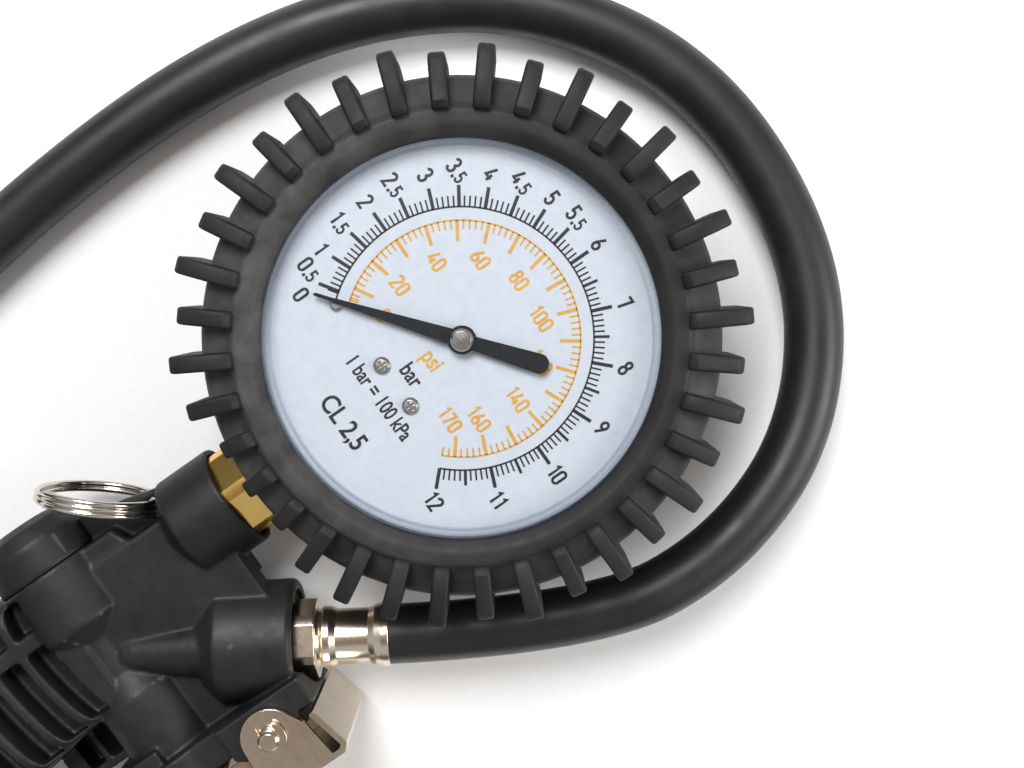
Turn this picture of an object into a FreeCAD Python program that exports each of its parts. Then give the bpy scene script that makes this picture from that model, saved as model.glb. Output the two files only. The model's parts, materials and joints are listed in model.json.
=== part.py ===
import FreeCAD, Part
import math
import os

# Pistol-grip tyre inflator lying on its back: dial gauge in a finned boot, nylon body with a
# ribbed grip, lever-operated valve, key ring, and a short hose with a clip-on tyre chuck.
# Millimetres. Origin: gauge axis on the surface it lies on. +Y to 12 o'clock, +Z out of the dial.

V = FreeCAD.Vector
Y, Z = V(0, 1, 0), V(0, 0, 1)

# Driving dimensions
AXIS_Z = 17.0                     # height of the stem, barrel and hose port axes
BOOT_R, BOOT_TOP, BOOT_FLOOR = 45.3, 43.2, 2.5
FIN_COUNT, FIN_T, FIN_LONG, FIN_SHORT, FIN_STUB = 36, 3.0, 50.1, 48.6, 45.4
FIN_FOOT_Z = 25.0
CASE_R, CASE_WALL, CASE_TOP = 40.2, 1.0, 40.4
WINDOW_R = 34.3
LENS_R, LENS_TOP, LENS_WALL = 34.0, 43.8, 1.0
DIAL_R, DIAL_Z, DIAL_T = 38.0, 37.7, 0.6
POINTER_Z, POINTER_TIP, POINTER_TAIL = 39.5, 26.7, 15.65
POINTER_REST_DEG = -127.9         # clockwise from 12 o'clock
MODULE, PINION_TEETH, SECTOR_TEETH = 0.3, 12, 96
SECTOR_PIVOT_DEG = -135.0         # direction of the sector pivot from the pinion
TAIL_R, TAIL_DEG = 8.0, -60.0
PLATE_BACK_Z, PLATE_FRONT_Z, PLATE_T = 14.0, 21.0, 1.0
ARBOR_R, RUNNING = 0.8, 0.05
TUBE_R, TUBE_THICK, TUBE_HIGH = 28.0, 2.6, 9.0
TUBE_FROM_DEG, TUBE_TO_DEG = 8.0, 256.0
GAUGE_HEX_AF, GAUGE_HEX_TOP, GAUGE_BOSS_TOP, GAUGE_BOSS_END = 17.0, -45.6, -53.4, -65.0
GAUGE_THREAD_R = 6.4
BARREL_Y, BORE_R = -91.5, 5.0
PORT_FOOT, PORT_DEG, PORT_RIM = (10.5, -91.2), 58.0, 36.6
PORT_BOSS_R, PORT_THREAD_R = 11.65, 4.9
HOSE_R, FERRULE_START, FERRULE_LENGTH = 5.75, 41.0, 13.1
STEM_R = 1.75
PIVOT = (40.0, -71.6)
PIVOT_R = 2.0
CHEEK_LOW, CHEEK_HIGH, SHEET = 3.0, 31.0, 1.1
LEVER_X = 50.0
RING_HOLE, RING_DEG, RING_R, RING_WIRE = (-7.0, -67.6), 227.0, 11.2, 0.75
GRIP_END, RIB_PITCH, RIB_COUNT, POCKET_H = -207.0, 6.25, 15, 4.4
WEB_HALF = 3.0                    # half thickness of the grip's middle web
INLET_X, INLET_R, INLET_LENGTH = 6.0, 5.72, 12.0
CHUCK_START, CHUCK_END, CHUCK_R = 12.4, 46.0, 5.75
CHUCK_BORE_R, CHUCK_BORE, SEAL_R = 4.15, 6.8, 4.6
CLIP_PIVOT_S, CLIP_SIDE = 30.0, 8.2


def cyl(r, start, end):
    a, b = V(*start), V(*end)
    return Part.makeCylinder(r, (b - a).Length, a, b - a)


def box(low, high):
    size = V(*high) - V(*low)
    return Part.makeBox(size.x, size.y, size.z, V(*low))


def place(shape, base, axis):
    shape.Placement = FreeCAD.Placement(V(*base), FreeCAD.Rotation(Z, V(*axis)))
    return shape


def turned(profile, base=(0, 0, 0), axis=(0, 0, 1)):
    """Solid of revolution: profile holds (radius, distance along the axis) points."""
    wire = Part.makePolygon([V(r, 0, a) for r, a in profile + profile[:1]])
    return place(Part.Face(wire).revolve(V(), Z, 360), base, axis)


def plate(points, low, high):
    wire = Part.makePolygon([V(x, y, low) for x, y in points + points[:1]])
    return Part.Face(wire).extrude(V(0, 0, high - low))


def polar(r, degrees, centre=(0, 0)):
    angle = math.radians(degrees)
    return (centre[0] + r * math.cos(angle), centre[1] + r * math.sin(angle))


def hexagon(across_flats, start, end, turn_deg=0.0):
    """Hexagonal bar from start to end, its corners turned off to a slightly smaller round."""
    corner = across_flats / math.sqrt(3)
    points = [polar(corner, 60 * i + turn_deg) for i in range(7)]
    length = (V(*end) - V(*start)).Length
    bar = Part.Face(Part.makePolygon([V(x, y, 0) for x, y in points])).extrude(V(0, 0, length))
    rounded = bar.common(Part.makeCylinder(0.94 * corner, length))
    return place(rounded, start, V(*end) - V(*start))


def helix_wire(coil_r, wire_r, pitch, turns, base, axis):
    path = Part.makeHelix(pitch, pitch * turns, coil_r)
    section = Part.Wire(Part.makeCircle(wire_r, V(coil_r, 0, 0), Y))
    return place(Part.Wire(path).makePipeShell([section], True, True), base, axis)


def ring(coil_r, wire_r, base, axis):
    return Part.makeTorus(coil_r, wire_r, V(*base), V(*axis))


def fused(first, *rest):
    return first.fuse(list(rest)).removeSplitter()


def save(name, *solids):
    for solid in solids:
        if not solid.isValid() or solid.Volume <= 0 or not solid.Solids:
            print("BAD SHAPE", name, solid.isValid(), solid.Volume)
    pieces = [piece for solid in solids for piece in solid.Solids]
    shape = pieces[0] if len(pieces) == 1 else Part.makeCompound(pieces)
    shape.exportStep("parts/" + name + ".step")


# ---------------------------------------------------------------- gauge

def stem_hole(r):
    return cyl(r, (0, -36, AXIS_Z), (0, -50, AXIS_Z))


def gauge_boot():
    shell = turned([
        (0, 0), (BOOT_R - 1.5, 0), (BOOT_R, 1.5), (BOOT_R, 38.5), (44.4, 40.2), (39.8, 42.0),
        (38.9, BOOT_TOP), (36.0, BOOT_TOP), (WINDOW_R, 41.4), (WINDOW_R, CASE_TOP + 0.1),
        (CASE_R + 0.1, CASE_TOP + 0.1), (CASE_R + 0.1, BOOT_FLOOR), (0, BOOT_FLOOR)])
    fins = []
    for i in range(FIN_COUNT):
        steps = min(i, FIN_COUNT - i)
        tip = FIN_STUB if steps < 2 else FIN_LONG if i % 2 or i == 4 else FIN_SHORT
        side = [(38.8, 42.4), (38.8, 44.6), (40.2, 45.6), (tip - 1.4, 43.8), (tip, 42.6), (tip, 27.5),
                (tip - 1.2, 25.8), (44.0, FIN_FOOT_Z), (44.0, 38.0), (42.0, 41.0)]
        wire = Part.makePolygon([V(r, -FIN_T / 2, z) for r, z in side + side[:1]])
        fin = Part.Face(wire).extrude(V(0, FIN_T, 0))
        fin.rotate(V(), Z, -90 + 360.0 * i / FIN_COUNT)
        fins.append(fin)
    return fused(shell, *fins).cut(stem_hole(6.3))


def gauge_case():
    shell = turned([
        (0, 2.6), (CASE_R, 2.6), (CASE_R, CASE_TOP), (34.6, CASE_TOP), (34.6, CASE_TOP - 0.8),
        (CASE_R - CASE_WALL, CASE_TOP - 0.8), (CASE_R - CASE_WALL, 3.6), (0, 3.6)])
    return shell.cut(stem_hole(6.1))


def gauge_lens():
    flange_z = CASE_TOP - 1.7
    return turned([
        (0, LENS_TOP - 1.2), (LENS_R - LENS_WALL - 0.5, LENS_TOP - 1.2),
        (LENS_R - LENS_WALL, LENS_TOP - 1.9), (LENS_R - LENS_WALL, flange_z), (38.8, flange_z),
        (38.8, flange_z + 0.8),
        (LENS_R, flange_z + 0.8), (LENS_R, LENS_TOP - 0.8), (LENS_R - 0.8, LENS_TOP), (0, LENS_TOP)])


def lens_gasket():
    low, high = DIAL_Z + DIAL_T, CASE_TOP - 1.7
    return turned([(34.6, low), (38.6, low), (38.6, high), (34.6, high)])


def dial_plate():
    disc = cyl(DIAL_R, (0, 0, DIAL_Z), (0, 0, DIAL_Z + DIAL_T))
    holes = [cyl(2.0, (0, 0, 30), (0, 0, 45))]
    holes += [cyl(1.1, (x, y, 30), (x, y, 45)) for x, y in dial_screw_places()]
    stop_x, stop_y = stop_place()
    holes.append(cyl(0.7, (stop_x, stop_y, 30), (stop_x, stop_y, 45)))
    return disc.cut(holes)


def dial_screw_places():
    return [(-4.3, -14.0), (4.3, -14.0)]


def stop_place():
    return polar(22.6, 90 - POINTER_REST_DEG + 1.7)


def pointer_stop_pin():
    """Low rivet under the pointer's rest place."""
    x, y = stop_place()
    return turned([(0, -0.6), (0.7, -0.6), (0.7, 0.6), (1.1, 0.6), (1.1, 1.1), (0.7, 1.5), (0, 1.5)],
                  (x, y, DIAL_Z))


def dial_screws():
    screws = []
    top = DIAL_Z + DIAL_T
    for x, y in dial_screw_places():
        head = turned([(0, 0), (1.5, 0), (1.5, 0.45), (1.05, 0.9), (0, 1.0)], (x, y, top))
        cross = [box((x - 0.9, y - 0.2, top + 0.6), (x + 0.9, y + 0.2, top + 2)),
                 box((x - 0.2, y - 0.9, top + 0.6), (x + 0.2, y + 0.9, top + 2))]
        screws.append(fused(head, cyl(1.0, (x, y, top - 5), (x, y, top))).cut(cross))
    return screws


def dial_posts():
    posts = []
    for x, y in dial_screw_places():
        post = cyl(1.9, (x, y, PLATE_FRONT_Z + PLATE_T), (x, y, DIAL_Z))
        posts.append(post.cut(cyl(1.0, (x, y, DIAL_Z - 4.4), (x, y, DIAL_Z))))
    return posts


def pointer():
    low, high = POINTER_Z, POINTER_Z + 0.5
    end_r = 1.75
    foot = end_r - POINTER_TAIL
    blade = plate([(-0.2, POINTER_TIP), (0.2, POINTER_TIP), (1.4, 1.5), (1.2, -2.0), (end_r, foot),
                   (-end_r, foot), (-1.2, -2.0), (-1.4, 1.5)], low, high)
    hub = cyl(2.5, (0, 0, low), (0, 0, high + 0.3))
    tail = cyl(end_r, (0, foot, low), (0, foot, high))
    shape = fused(blade, hub, tail).cut(cyl(ARBOR_R, (0, 0, 30), (0, 0, 50)))
    shape.rotate(V(), Z, -POINTER_REST_DEG)
    return shape


def pointer_cap():
    base = POINTER_Z + 0.8
    return turned([(0, 0.7), (ARBOR_R, 0.7), (ARBOR_R, 0), (2.0, 0), (2.0, 0.6), (1.6, 1.1), (0, 1.2)],
                  (0, 0, base))


def toothed(teeth, root, tip, half_deg, centre, directions):
    """Tapered teeth standing on a root circle, at the given directions about a centre."""
    pitch_r = MODULE * teeth / 2
    root_half, tip_half = 1.5 * half_deg, 0.45 * half_deg
    outlines = []
    for direction in directions:
        outlines.append([polar(root - 0.3, direction - root_half, centre),
                         polar(root, direction - root_half, centre),
                         polar(pitch_r, direction - half_deg, centre),
                         polar(tip, direction - tip_half, centre),
                         polar(tip, direction + tip_half, centre),
                         polar(pitch_r, direction + half_deg, centre),
                         polar(root, direction + root_half, centre),
                         polar(root - 0.3, direction + root_half, centre)])
    return outlines


def gear_distance():
    return MODULE * (PINION_TEETH + SECTOR_TEETH) / 2 + 0.03


def sector_pivot():
    return polar(gear_distance(), SECTOR_PIVOT_DEG)


def tail_pin():
    return polar(TAIL_R, TAIL_DEG, sector_pivot())


def pinion_shaft():
    pitch_r = MODULE * PINION_TEETH / 2
    root, tip = pitch_r - 1.25 * MODULE, pitch_r + 0.85 * MODULE
    half = 0.8 * 90.0 / PINION_TEETH
    directions = [SECTOR_PIVOT_DEG + 360.0 * (i + 0.5) / PINION_TEETH for i in range(PINION_TEETH)]
    teeth = [plate(o, 15.8, 18.2) for o in toothed(PINION_TEETH, root, tip, half, (0, 0), directions)]
    shaft = cyl(ARBOR_R, (0, 0, PLATE_BACK_Z - 0.2), (0, 0, POINTER_Z + 1.5))
    return fused(shaft, cyl(root, (0, 0, 15.8), (0, 0, 18.2)), *teeth)


def sector_gear():
    centre = sector_pivot()
    pitch_r = MODULE * SECTOR_TEETH / 2
    root, tip = pitch_r - 1.25 * MODULE, pitch_r + 0.85 * MODULE
    step = 360.0 / SECTOR_TEETH
    mesh = SECTOR_PIVOT_DEG + 180
    directions = [mesh + step * i for i in range(-11, 3)]
    low, high = 16.5, 17.5
    outlines = toothed(SECTOR_TEETH, root, tip, 0.8 * step / 4, centre, directions)
    teeth = [plate(outline, low, high) for outline in outlines]
    first, last = directions[0] - 0.8 * step, directions[-1] + 0.8 * step
    rim = [polar(root, first + (last - first) * i / 12.0, centre) for i in range(13)]
    inner = [polar(root - 2.2, last - (last - first) * i / 12.0, centre) for i in range(13)]
    web = plate([polar(2.0, 150, centre), polar(root - 1.5, mesh + 5, centre),
                 polar(root - 1.5, mesh - 33, centre), polar(2.0, -80, centre)], low, high)
    pin = tail_pin()
    tail = plate([polar(1.2, TAIL_DEG + 90, centre), polar(1.2, TAIL_DEG - 90, centre),
                  polar(1.2, TAIL_DEG - 90, pin), polar(1.2, TAIL_DEG + 90, pin)], low, high)
    hub = cyl(2.2, (centre[0], centre[1], 15.6), (centre[0], centre[1], 18.0))
    arbor = cyl(ARBOR_R, (centre[0], centre[1], PLATE_BACK_Z - 0.2),
                (centre[0], centre[1], PLATE_FRONT_Z + PLATE_T + 0.2))
    eye = cyl(1.2, (pin[0], pin[1], low), (pin[0], pin[1], high))
    rivet = cyl(0.6, (pin[0], pin[1], high), (pin[0], pin[1], 18.6))
    return fused(plate(rim + inner, low, high), web, tail, hub, arbor, eye, rivet, *teeth)


def movement_plate(low, foot):
    shape = plate([(-17, -18.5), (-8, foot), (8, foot), (12, -20.8), (12, 2), (8, 6), (-13, 6), (-17, 2)],
                  low, low + PLATE_T)
    pivots = [(0, 0), sector_pivot()]
    return shape.cut([cyl(ARBOR_R + RUNNING, (x, y, low - 1), (x, y, low + 2)) for x, y in pivots])


def movement_back_plate():
    low = PLATE_BACK_Z
    holes = [cyl(1.05, (x, -21.5, low - 1), (x, -21.5, low + 2)) for x in (-4, 4)]
    return movement_plate(low, -24.8).cut(holes)


def movement_pillars():
    low, high = PLATE_BACK_Z + PLATE_T, PLATE_FRONT_Z
    return [cyl(1.5, (x, y, low), (x, y, high)) for x, y in ((-15, 2), (9.5, -19.5))]


def movement_screws():
    top = PLATE_BACK_Z + PLATE_T
    screws = []
    for x in (-4, 4):
        head = cyl(1.9, (x, -21.5, top), (x, -21.5, top + 1.2)).cut(
            box((x - 0.25, -24, top + 0.7), (x + 0.25, -19, top + 2)))
        screws.append(fused(head, cyl(1.0, (x, -21.5, top - 5), (x, -21.5, top))))
    return screws


def oval(thick, high):
    centre = V(TUBE_R, 0, AXIS_Z)
    curve = Part.Ellipse(centre + V(0, 0, high / 2), centre + V(thick / 2, 0, 0), centre)
    return Part.Wire(curve.toShape())


def tube_solid(thick, high, start_deg, end_deg):
    shape = Part.Face(oval(thick, high)).revolve(V(), Z, end_deg - start_deg)
    shape.rotate(V(), Z, start_deg)
    return shape


def bourdon_tube():
    outer = tube_solid(TUBE_THICK, TUBE_HIGH, TUBE_FROM_DEG, TUBE_TO_DEG)
    return outer.cut(tube_solid(TUBE_THICK - 0.8, TUBE_HIGH - 0.8, TUBE_FROM_DEG - 1, TUBE_TO_DEG + 1))


def link_eye():
    return (22.6, -9.2)


def bourdon_tip():
    shape = tube_solid(TUBE_THICK, TUBE_HIGH, TUBE_FROM_DEG - 8, TUBE_FROM_DEG)
    eye_x, eye_y = link_eye()
    lug = plate([(27.0, 2.4), (29.0, 2.4), (29.0, -1.5), (24.2, -9.8), (21.4, -8.2)], 15.6, 17.3)
    return fused(shape, lug, cyl(1.6, (eye_x, eye_y, 15.6), (eye_x, eye_y, 17.3)))


def link():
    start, end = tail_pin(), link_eye()
    along = math.degrees(math.atan2(end[1] - start[1], end[0] - start[0]))
    low, high = 17.75, 18.35
    bar = plate([polar(0.9, along + 90, start), polar(0.9, along - 90, start),
                 polar(0.9, along - 90, end), polar(0.9, along + 90, end)], low, high)
    eyes = [cyl(1.4, (p[0], p[1], low), (p[0], p[1], high)) for p in (start, end)]
    holes = [cyl(0.6 + RUNNING, (p[0], p[1], low - 1), (p[0], p[1], high + 1)) for p in (start, end)]
    return fused(bar, *eyes).cut(holes)


def hairspring():
    """Flat spiral of ribbon, made of half turns of growing radius that meet end to end."""
    inner, step, half_turns, ribbon = 1.3, 0.42, 9, 0.12
    halves, centre_x, radius = [], 0.0, inner
    for i in range(half_turns):
        side = 1 if i % 2 == 0 else -1
        lines = []
        for r in (radius, radius + ribbon):
            lines.append([V(centre_x + side * r, 0, 0), V(centre_x, side * r, 0),
                          V(centre_x - side * r, 0, 0)])
        near, far = lines
        outline = Part.Wire([
            Part.Arc(*near).toShape(), Part.LineSegment(near[2], far[2]).toShape(),
            Part.Arc(*far[::-1]).toShape(), Part.LineSegment(far[0], near[0]).toShape()])
        halves.append(Part.Face(outline).extrude(V(0, 0, 0.7)))
        centre_x += side * step / 2
        radius += step / 2
    shape = halves[0].fuse(halves[1:])
    shape.translate(V(0, 0, 19.2))
    return shape


def gauge_stem():
    shank = hexagon(GAUGE_HEX_AF, (0, GAUGE_HEX_TOP, AXIS_Z), (0, GAUGE_BOSS_TOP - 1, AXIS_Z), 36)
    neck = cyl(6.0, (0, -37.5, AXIS_Z), (0, GAUGE_HEX_TOP, AXIS_Z))
    thread = cyl(GAUGE_THREAD_R, (0, GAUGE_BOSS_TOP - 1, AXIS_Z), (0, -63.5, AXIS_Z))
    block = box((-8, -38, 9), (8, -25, 23))
    ledge = box((-7, -25.5, 8), (7, -18.5, PLATE_BACK_Z))
    shape = fused(block, ledge, neck, shank, thread)
    cuts = [cyl(1.5, (0, -64, AXIS_Z), (0, -31, AXIS_Z)),
            tube_solid(TUBE_THICK, TUBE_HIGH, TUBE_TO_DEG - 8, TUBE_TO_DEG)]
    cuts += [cyl(1.0, (x, -21.5, PLATE_BACK_Z - 4.2), (x, -21.5, PLATE_BACK_Z)) for x in (-4, 4)]
    return shape.cut(cuts)


# ---------------------------------------------------------------- body and valve

def port(s, side=0.0):
    """A point on the hose port axis, s from its foot, moved sideways in the XY plane."""
    angle = math.radians(PORT_DEG)
    along, across = (math.cos(angle), math.sin(angle)), (math.sin(angle), -math.cos(angle))
    return (PORT_FOOT[0] + s * along[0] + side * across[0],
            PORT_FOOT[1] + s * along[1] + side * across[1], AXIS_Z)


def port_axis():
    return V(*port(1)) - V(*port(0))


def grip_sections():
    """(y, left x, right x, half thickness) down the grip."""
    return [(-96.0, -7.5, 21.0, 7.4), (-104.0, -9.6, 21.2, 8.0), (-114.0, -11.2, 23.0, 9.2),
            (-128.0, -12.0, 24.0, 11.4), (-155.0, -11.6, 23.4, 13.8), (-185.0, -10.0, 21.6, 14.2),
            (GRIP_END, -8.6, 20.6, 13.8)]


def grip_edge(y, column):
    rows = grip_sections()
    for above, below in zip(rows, rows[1:]):
        if above[0] >= y >= below[0]:
            share = (above[0] - y) / (above[0] - below[0])
            return above[column] + share * (below[column] - above[column])
    return rows[-1][column] if y < rows[-1][0] else rows[0][column]


def rounded_section(y, left, right, half):
    """Rounded rectangle in a plane of constant y, centred on the axis height."""
    corner = 0.66 * half
    bend = corner * (1 - math.sqrt(0.5))
    low, high = AXIS_Z - half, AXIS_Z + half

    def p(x, z):
        return V(x, y, z)

    def line(a, b):
        return Part.LineSegment(a, b).toShape()

    def arc(a, m, b):
        return Part.Arc(a, m, b).toShape()

    edges = [
        line(p(left + corner, low), p(right - corner, low)),
        arc(p(right - corner, low), p(right - bend, low + bend), p(right, low + corner)),
        line(p(right, low + corner), p(right, high - corner)),
        arc(p(right, high - corner), p(right - bend, high - bend), p(right - corner, high)),
        line(p(right - corner, high), p(left + corner, high)),
        arc(p(left + corner, high), p(left + bend, high - bend), p(left, high - corner)),
        line(p(left, high - corner), p(left, low + corner)),
        arc(p(left, low + corner), p(left + bend, low + bend), p(left + corner, low))]
    return Part.Wire(edges)


def slot_outline(y, spine, side, rise):
    """Curved slot from the spine out to one side, its outer end higher by the given rise."""
    middle = (spine + side) / 2
    low = [V(spine, y, 0), V(middle, y + 0.28 * rise, 0), V(side, y + rise, 0)]
    high = [point + V(0, POCKET_H, 0) for point in low]
    return Part.Wire([
        Part.Arc(*low).toShape(), Part.LineSegment(low[2], high[2]).toShape(),
        Part.Arc(*high[::-1]).toShape(), Part.LineSegment(high[0], low[0]).toShape()])


def grip_pockets():
    """Slots between the ribs, left and right of the spine, on both faces of the middle web."""
    pockets = []
    for i in range(RIB_COUNT):
        y = -102.2 - RIB_PITCH * i
        outlines = [slot_outline(y, 2.2, grip_edge(y, 2) - 1.9, 2.5),
                    slot_outline(y, -1.0, grip_edge(y, 1) + 1.9, 1.2)]
        for outline in outlines:
            for low, high in ((AXIS_Z + WEB_HALF, 40), (-6, AXIS_Z - WEB_HALF)):
                slot = Part.Face(outline).extrude(V(0, 0, high - low))
                slot.translate(V(0, 0, low))
                pockets.append(slot)
    return pockets


def valve_body():
    """One moulding: gauge boss, hose port, barrel, front wall with the pivot ear, lug and grip."""
    grip = Part.makeLoft([rounded_section(*row) for row in grip_sections()], True, False)
    boss_end = turned([(0, 0), (12.0, 0), (12.0, 9.5), (11.0, 10.5), (0, 10.5)],
                      (INLET_X, GRIP_END + 0.5, AXIS_Z), (0, -1, 0))
    gauge_boss = turned([(0, 0), (10.4, 0), (10.4, GAUGE_BOSS_TOP - GAUGE_BOSS_END), (0, 18)],
                        (0, GAUGE_BOSS_TOP, AXIS_Z), (0, -1, 0))
    neck = box((-4.5, -88, 9.5), (15, -60, 23))
    web = plate([(-4.5, -88), (-4.5, -62), (4, -58.6), (22.5, -58.6), (25, -66), (15, -88)], 17, 23)
    mid_plate = plate([(12, -66), (39.5, -66), (39.5, -86), (12, -86)], 8.5, 21)
    port_boss = turned([(0, 18.2), (8.0, 18.2), (PORT_BOSS_R, 22.0), (PORT_BOSS_R, PORT_RIM - 0.8),
                        (PORT_BOSS_R - 0.8, PORT_RIM), (0, PORT_RIM)], port(0), port_axis())
    tail = turned([(0, 0), (2.0, 0.4), (3.2, 1.8), (3.7, 3.6), (5.8, 20), (5.8, 26), (0, 26)],
                  (port(2)[0], port(2)[1], AXIS_Z + 3.5), port_axis())
    barrel = turned([(0, 0), (10.3, 0), (10.3, 12.0), (6.8, 15.9), (6.8, 24.0), (8.8, 28.6),
                     (8.8, 43), (0, 43)], (-8.6, BARREL_Y, AXIS_Z), (1, 0, 0))
    front_wall = box((33.6, -104, 6.5), (39.8, -62, 27.5))
    ear = plate([(33.6, -61.4), (39.2, -61.4), (39.2, -65.0), (42.8, -66.4), (44.6, -70.0), (44.6, -74.0),
                 (40.3, -80), (33.6, -80)],
                CHEEK_LOW + SHEET + 0.3, CHEEK_HIGH - SHEET - 0.3)
    wall_round = cyl(11.6, (33.6, BARREL_Y, AXIS_Z), (40.3, BARREL_Y, AXIS_Z))
    shelf = box((3.2, -97.0, 9), (18.4, -92, 24.5))
    bracket = box((18.4, -114.5, 5), (30.5, -92, 13))
    brace = plate([(30.4, -103.5), (30.4, -92), (34, -92), (34, -98)], 6.5, 27.5)
    lug = plate([(-3, -58.8), (-8.6, -60.8), (-13.6, -79.3), (-13.6, -86), (-3, -86)],
                AXIS_Z - 1.5, AXIS_Z + 1.5)
    shoulder = plate([(-3, -73.5), (-8.2, -76), (-8.2, -86), (-3, -86)], AXIS_Z - 5.5, AXIS_Z + 5.5)
    shape = fused(grip, boss_end, gauge_boss, neck, web, mid_plate, port_boss, tail, barrel,
                  front_wall, ear, wall_round, shelf, bracket, brace, lug, shoulder)
    cuts = [
        cyl(9.35, (0, GAUGE_BOSS_TOP + 1, AXIS_Z), (0, GAUGE_BOSS_TOP - 1.5, AXIS_Z)),
        cyl(GAUGE_THREAD_R, (0, GAUGE_BOSS_TOP, AXIS_Z), (0, -64, AXIS_Z)),
        cyl(1.5, (0, -63, AXIS_Z), (7.5, BARREL_Y, AXIS_Z)),
        cyl(9.6, port(PORT_RIM + 1), port(PORT_RIM - 1.6)),
        cyl(PORT_THREAD_R, port(PORT_RIM), port(PORT_RIM - 11)),
        cyl(2.0, port(PORT_RIM), port(0)),
        cyl(8.4, port(PORT_RIM), port(PORT_RIM + 12)),
        cyl(7.0, (-10, BARREL_Y, AXIS_Z), (-3.0, BARREL_Y, AXIS_Z)),
        cyl(10.35, (-22, BARREL_Y, AXIS_Z), (-8.6, BARREL_Y, AXIS_Z)),
        cyl(BORE_R, (-4, BARREL_Y, AXIS_Z), (50, BARREL_Y, AXIS_Z)),
        cyl(2.0, (-1.4, BARREL_Y, AXIS_Z), (INLET_X, GRIP_END, AXIS_Z)),
        cyl(8.0, (INLET_X, -203.5, AXIS_Z), (INLET_X, -225, AXIS_Z)),
        cyl(PIVOT_R, (PIVOT[0], PIVOT[1], 0), (PIVOT[0], PIVOT[1], 40)),
        cyl(1.9, (RING_HOLE[0], RING_HOLE[1], 0), (RING_HOLE[0], RING_HOLE[1], 40)),
        box((21.9, -106.0, 0), (28.7, -100.8, 40)),
        box((21.9, -110.8, 8), (28.7, -107.4, 40))]
    return shape.cut(cuts + grip_pockets())


def barrel_cap():
    body = turned([(0, 0), (5.6, 0), (8.6, 1.4), (10.3, 4.2), (10.3, 10.1), (0, 10.1)],
                  (-18.7, BARREL_Y, AXIS_Z), (1, 0, 0))
    spigot = cyl(7.0, (-8.6, BARREL_Y, AXIS_Z), (-3.6, BARREL_Y, AXIS_Z))
    return fused(body, spigot).cut(cyl(4.3, (-15.0, BARREL_Y, AXIS_Z), (-3, BARREL_Y, AXIS_Z)))


def along_barrel(profile, x):
    return turned(profile, (x, BARREL_Y, AXIS_Z), (1, 0, 0))


def valve_seat():
    return along_barrel([(2.7, 0), (3.3, 0), (BORE_R, 0.6), (BORE_R, 4.0), (2.7, 4.0)], 0.6)


def valve_poppet():
    return along_barrel([(0, 0), (1.6, 0), (1.6, 1.6), (3.6, 1.6), (3.6, 3.0), (0, 3.0)], -3.8)


def poppet_seal():
    return along_barrel([(0, 0), (3.7, 0), (3.7, 1.0), (2.7, 1.4), (0, 1.4)], -0.8)


def valve_spring():
    return helix_wire(2.8, 0.35, 1.55, 6.5, (-14.6, BARREL_Y, AXIS_Z), (1, 0, 0))


def valve_stem():
    return along_barrel([(0, 0), (STEM_R, 0), (STEM_R, 46.8), (1.2, 47.7), (0, 48.25)], 0.6)


def stem_o_ring():
    return ring(2.5, 0.68, (30.2, BARREL_Y, AXIS_Z), (1, 0, 0))


def stem_guide():
    bore = STEM_R + RUNNING
    sleeve = along_barrel([(3.2, 0), (BORE_R, 0), (BORE_R, 11.8), (5.9, 11.8), (5.9, 13.2), (4.4, 14.6),
                           (bore, 14.6), (bore, 2.4), (3.2, 2.4)], 28.5)
    return sleeve


# ---------------------------------------------------------------- trigger and key ring

def lever_outline():
    """Outer line of the trigger's sheet, from the top arm down to the curled end."""
    return [(40.3, -62.2), (48.6, -60.4), (LEVER_X, -61.7), (LEVER_X, -98), (51.2, -120), (54.0, -146),
            (56.5, -156), (60.0, -162)]


def thick_line(points, thickness):
    """Outline of a sheet: the points and the same points moved to the right-hand side."""
    inner = []
    for i, point in enumerate(points):
        before = V(*points[max(i - 1, 0)], 0)
        after = V(*points[min(i + 1, len(points) - 1)], 0)
        here = V(*point, 0)
        normals = []
        for a, b in ((before, here), (here, after)):
            if (b - a).Length > 0:
                step = (b - a).normalize()
                normals.append(V(step.y, -step.x, 0))
        normal = normals[0] if len(normals) == 1 else (normals[0] + normals[1]).normalize()
        share = 1.0 if len(normals) == 1 else max(normal.dot(normals[0]), 0.5)
        inner.append(here + normal * (thickness / share))
    return list(points) + [(p.x, p.y) for p in reversed(inner)]


def trigger_lever():
    web = plate(thick_line(lever_outline(), SHEET), CHEEK_LOW, CHEEK_HIGH)
    px, py = PIVOT
    cheek = [(px - 1.5, py + 5.4), (px + 1.4, -64.6), (LEVER_X - 0.3, -63.8), (LEVER_X - 0.3, -98),
             (50.7, -120), (53.4, -145), (49.6, -142), (46.6, -120), (45.6, -98), (45.6, -80.5),
             (44.0, -77.4), (px, py - 5.5)]
    parts = [web]
    holes = []
    for low in (CHEEK_LOW, CHEEK_HIGH - SHEET):
        high = low + SHEET
        parts.append(fused(plate(cheek, low, high), cyl(5.5, (px, py, low), (px, py, high))))
        holes.append(cyl(PIVOT_R + RUNNING, (px, py, low - 1), (px, py, high + 1)))
    return fused(*parts).cut(holes)


def trigger_pin():
    px, py = PIVOT
    return turned([(0, 1.0), (2.6, 1.0), (3.1, 1.4), (3.1, 2.7), (PIVOT_R, 2.7), (PIVOT_R, 31.3),
                   (1.5, 31.3), (1.5, 32.0), (PIVOT_R, 32.0), (PIVOT_R, 32.7), (1.5, 33.2), (0, 33.2)],
                  (px, py, 0))


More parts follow.
